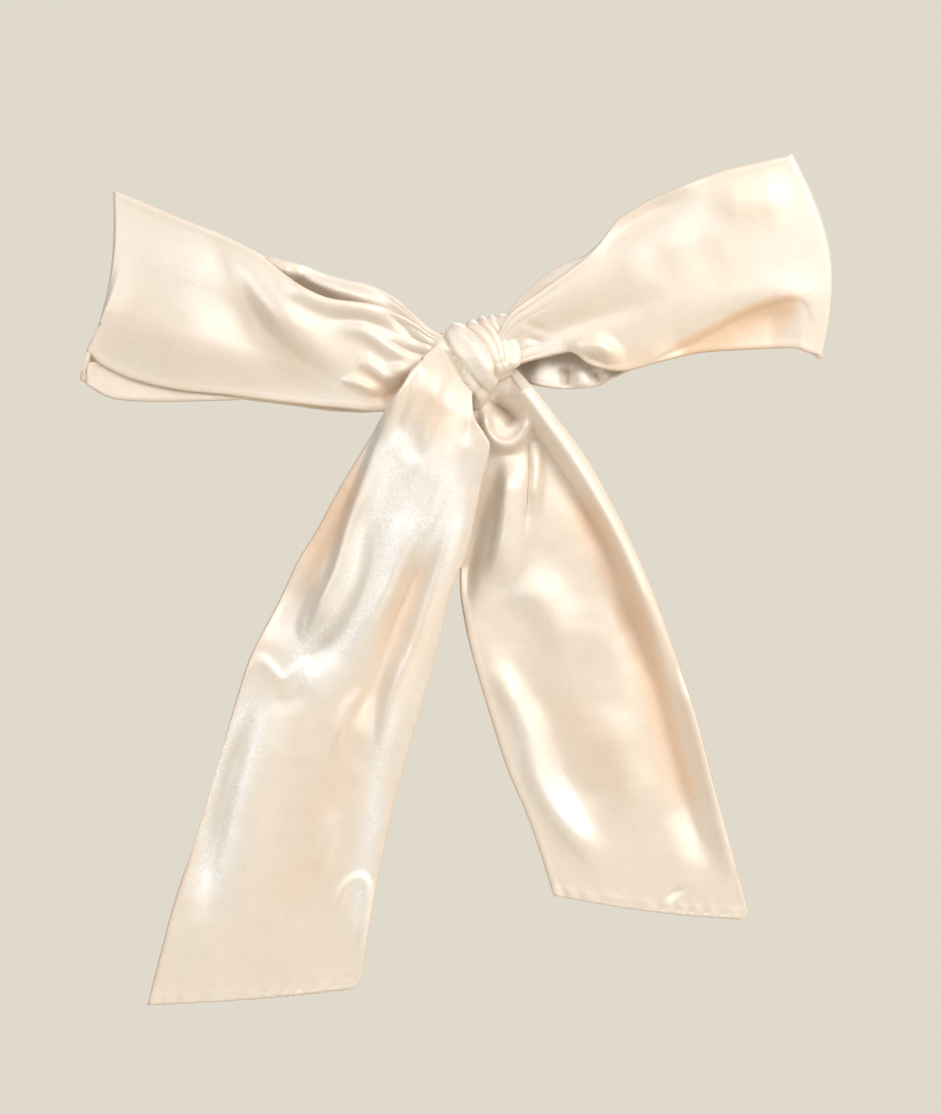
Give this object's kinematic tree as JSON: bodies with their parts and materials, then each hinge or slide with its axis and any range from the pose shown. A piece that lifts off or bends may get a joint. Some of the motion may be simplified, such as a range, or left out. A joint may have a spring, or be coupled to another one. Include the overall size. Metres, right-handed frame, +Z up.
{
  "type": "hair bow",
  "caption": "Long-tailed satin sash bow with puffed loops and a pleated knot, sewn to an arched spring barrette with a snap catch.",
  "frame": {"origin": "middle of the gap that the hair passes through, behind the knot", "axes": "+Z up as the bow is worn, X along the barrette, -Y out of the front of the bow"},
  "size_m": [0.2, 0.0367, 0.2261],
  "materials": {
    "satin": "champagne satin, soft gloss",
    "thread": "polyester sewing thread",
    "felt": "matte wool felt",
    "steel": "nickel-plated, lightly brushed",
    "spring_steel": "spring steel, satin"
  },
  "bodies": {
    "knot": {"knot_wrap": "satin", "gathered_core": "satin", "gathering_thread": "thread", "closing_stitch_row": "thread", "felt_pad": "felt", "barrette_base": "steel", "mounting_stitches": "thread", "hinge_pin": "steel"},
    "left_loop": {"left_loop": "satin"},
    "right_loop": {"right_loop": "satin", "corner_tack": "thread"},
    "left_tail": {"left_tail": "satin"},
    "right_tail": {"right_tail": "satin"},
    "clasp_arm": {"clasp_arm": "steel"},
    "tension_spring": {"tension_spring": "spring_steel"},
    "catch_upper": {"catch_upper": "spring_steel"},
    "catch_lower": {"catch_lower": "spring_steel"}
  },
  "joints": [
    {"name": "clasp_hinge", "type": "hinge", "parent": "knot", "child": "clasp_arm", "pos_m": [-0.0375, 0.003, 0], "axis": [0, 0, 1], "range_deg": [0, 60]},
    {"name": "spring_flex", "type": "hinge", "parent": "knot", "child": "tension_spring", "pos_m": [-0.0375, 0.003, 0], "axis": [0, 0, 1], "range_deg": [-1.5, 0], "stiffness_Nm_per_rad": 0.3},
    {"name": "catch_upper_flex", "type": "hinge", "parent": "knot", "child": "catch_upper", "pos_m": [0.0365, 0.00138, 0.0023], "axis": [1, 0, 0], "range_deg": [0, 8], "stiffness_Nm_per_rad": 0.05},
    {"name": "catch_lower_flex", "type": "hinge", "parent": "knot", "child": "catch_lower", "pos_m": [0.0365, 0.00138, -0.0023], "axis": [1, 0, 0], "range_deg": [-8, 0], "stiffness_Nm_per_rad": 0.05},
    {"name": "left_loop_flex", "type": "hinge", "parent": "knot", "child": "left_loop", "pos_m": [-0.015, -0.0195, 0], "axis": [0, 0, 1], "range_deg": [-12, 12], "stiffness_Nm_per_rad": 0.01},
    {"name": "right_loop_flex", "type": "hinge", "parent": "knot", "child": "right_loop", "pos_m": [0.015, -0.0195, 0], "axis": [0, 0, -1], "range_deg": [-12, 12], "stiffness_Nm_per_rad": 0.01},
    {"name": "left_tail_swing", "type": "hinge", "parent": "knot", "child": "left_tail", "pos_m": [-0.01, -0.0312, -0.01195], "axis": [-0.9504, 0, 0.3111], "range_deg": [-5, 50]},
    {"name": "right_tail_swing", "type": "hinge", "parent": "knot", "child": "right_tail", "pos_m": [0.012, -0.021, -0.0186], "axis": [-0.9539, 0, -0.3], "range_deg": [-5, 40]}
  ]
}
